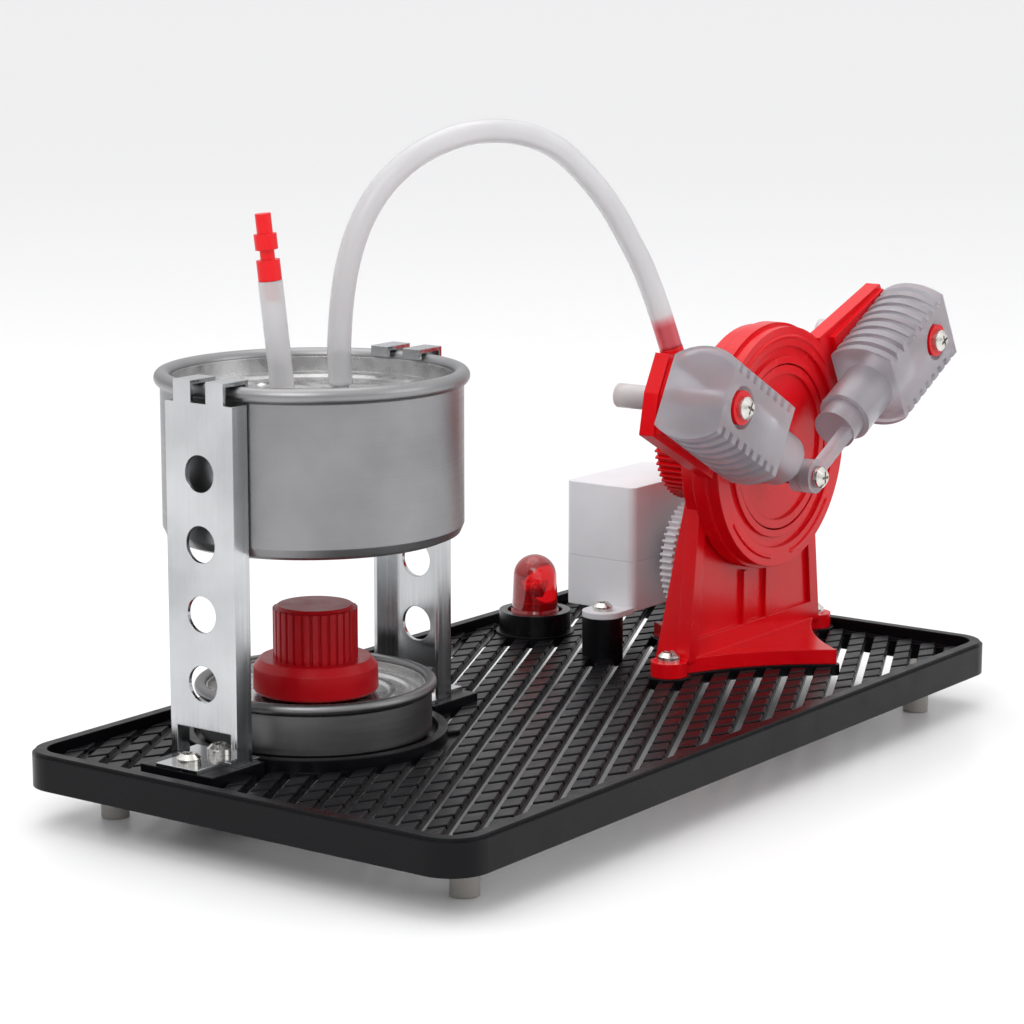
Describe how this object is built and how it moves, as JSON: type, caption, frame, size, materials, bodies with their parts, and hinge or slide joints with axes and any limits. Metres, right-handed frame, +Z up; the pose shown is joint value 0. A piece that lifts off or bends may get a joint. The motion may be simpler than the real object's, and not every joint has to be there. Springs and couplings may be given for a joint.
{
  "type": "model steam engine",
  "caption": "A model steam engine on a slotted tray: a spirit burner and boiler can feed an oscillating V-twin through a silicone hose, and gears drive a generator.",
  "frame": {"origin": "On the ground below the middle of the model's overall box.", "axes": "+Z is up, +X runs along the tray from the boiler to the engine, and the engine's crank disc and cylinders face -Y."},
  "size_m": [0.2665, 0.136, 0.1684],
  "materials": {
    "black_plastic": "fine satin moulding grain",
    "foot_plastic": "greyish translucent soft plastic",
    "tin_plate": "satin tin plate, brighter on the rolled bead",
    "spigot_metal": "plain turned metal",
    "stand_aluminium": "polished sheet with fine drawn lines",
    "silicone": "milky translucent silicone",
    "plug_red": "bright red moulding",
    "wick_cotton": "plain cotton wick",
    "snuffer_red": "dark red moulding with vertical ribs",
    "engine_red": "glossy red moulding",
    "screw_nickel": "nickel plate",
    "cap_plastic": "grey translucent cap",
    "bush_bronze": "plain bearing bush",
    "white_plastic": "white satin moulding",
    "motor_steel": "plain steel can",
    "rotor_copper": "varnished winding",
    "lamp_red": "clear red dome",
    "clear_plastic": "milky translucent moulding"
  },
  "bodies": {
    "frame": {"base_tray": "black_plastic", "feet": "foot_plastic", "outer_stand": "stand_aluminium", "inner_stand": "stand_aluminium", "stand_screws": "screw_nickel", "boiler_can": "tin_plate", "boiler_lid": "tin_plate", "filler_spigot": "spigot_metal", "steam_spigot": "spigot_metal", "filler_hose": "silicone", "steam_hose": "silicone", "engine_tower": "engine_red", "tower_screws": "screw_nickel", "crank_housing": "engine_red", "valve_arms": "engine_red", "steam_nipple": "engine_red", "shaft_bush": "bush_bronze", "generator_motor": "motor_steel", "generator_nose": "black_plastic", "generator_lower_case": "white_plastic", "generator_upper_case": "white_plastic", "generator_screws": "screw_nickel", "lamp_socket": "black_plastic", "lamp_bulb": "lamp_red"},
    "crank": {"crank_disc": "engine_red", "crankshaft": "screw_nickel", "crank_gear": "engine_red"},
    "generator_drive": {"generator_gear": "white_plastic", "generator_shaft": "screw_nickel", "generator_rotor": "rotor_copper"},
    "left_swing": {"left_cylinder": "clear_plastic", "left_pivot_post": "engine_red", "left_pivot_screw": "screw_nickel", "left_spring": "screw_nickel", "left_spring_cap": "cap_plastic"},
    "left_slider": {"left_piston": "clear_plastic", "left_rod": "clear_plastic", "left_rod_bush": "engine_red"},
    "right_swing": {"right_cylinder": "clear_plastic", "right_pivot_post": "engine_red", "right_pivot_screw": "screw_nickel", "right_spring": "screw_nickel", "right_spring_cap": "cap_plastic"},
    "right_slider": {"right_piston": "clear_plastic", "right_rod": "clear_plastic", "right_rod_bush": "engine_red", "crankpin_screw": "screw_nickel"},
    "burner": {"burner_can": "tin_plate", "burner_top_plate": "tin_plate", "wick_tube": "tin_plate", "wick": "wick_cotton"},
    "snuffer": {"snuffer_cap": "snuffer_red"},
    "plug": {"filler_plug": "plug_red"}
  },
  "joints": [
    {"name": "crank_spin", "type": "hinge", "parent": "frame", "child": "crank", "pos_m": [0.0698, 0, 0.0756], "axis": [0, 1, 0], "continuous": true},
    {"name": "generator_spin", "type": "hinge", "parent": "frame", "child": "generator_drive", "pos_m": [0.0698, 0, 0.042], "axis": [0, 1, 0], "continuous": true},
    {"name": "left_cylinder_swing", "type": "hinge", "parent": "frame", "child": "left_swing", "pos_m": [0.01683, -0.036, 0.09467], "axis": [0, 1, 0], "range_deg": [-19.3, 1.2]},
    {"name": "left_piston_slide", "type": "slide", "parent": "left_swing", "child": "left_slider", "axis": [0.8759, 0, -0.4825], "range_m": [-0.0046, 0.0153]},
    {"name": "right_cylinder_swing", "type": "hinge", "parent": "frame", "child": "right_swing", "pos_m": [0.11987, -0.036, 0.10133], "axis": [0, 1, 0], "range_deg": [-9.3, 7.5]},
    {"name": "right_piston_slide", "type": "slide", "parent": "right_swing", "child": "right_slider", "axis": [0.8817, 0, 0.4718], "range_m": [0, 0.0199]},
    {"name": "burner_lift", "type": "slide", "parent": "frame", "child": "burner", "axis": [0, 0, 1], "range_m": [0, 0.005]},
    {"name": "snuffer_lift", "type": "slide", "parent": "burner", "child": "snuffer", "axis": [0, 0, 1], "range_m": [0, 0.012]},
    {"name": "filler_plug_pull", "type": "slide", "parent": "frame", "child": "plug", "axis": [-0.0696, 0.0698, 0.9951], "range_m": [0, 0.015]}
  ],
  "couplings": [
    {"joint": "generator_spin", "follows": "crank_spin", "ratio": -1}
  ]
}
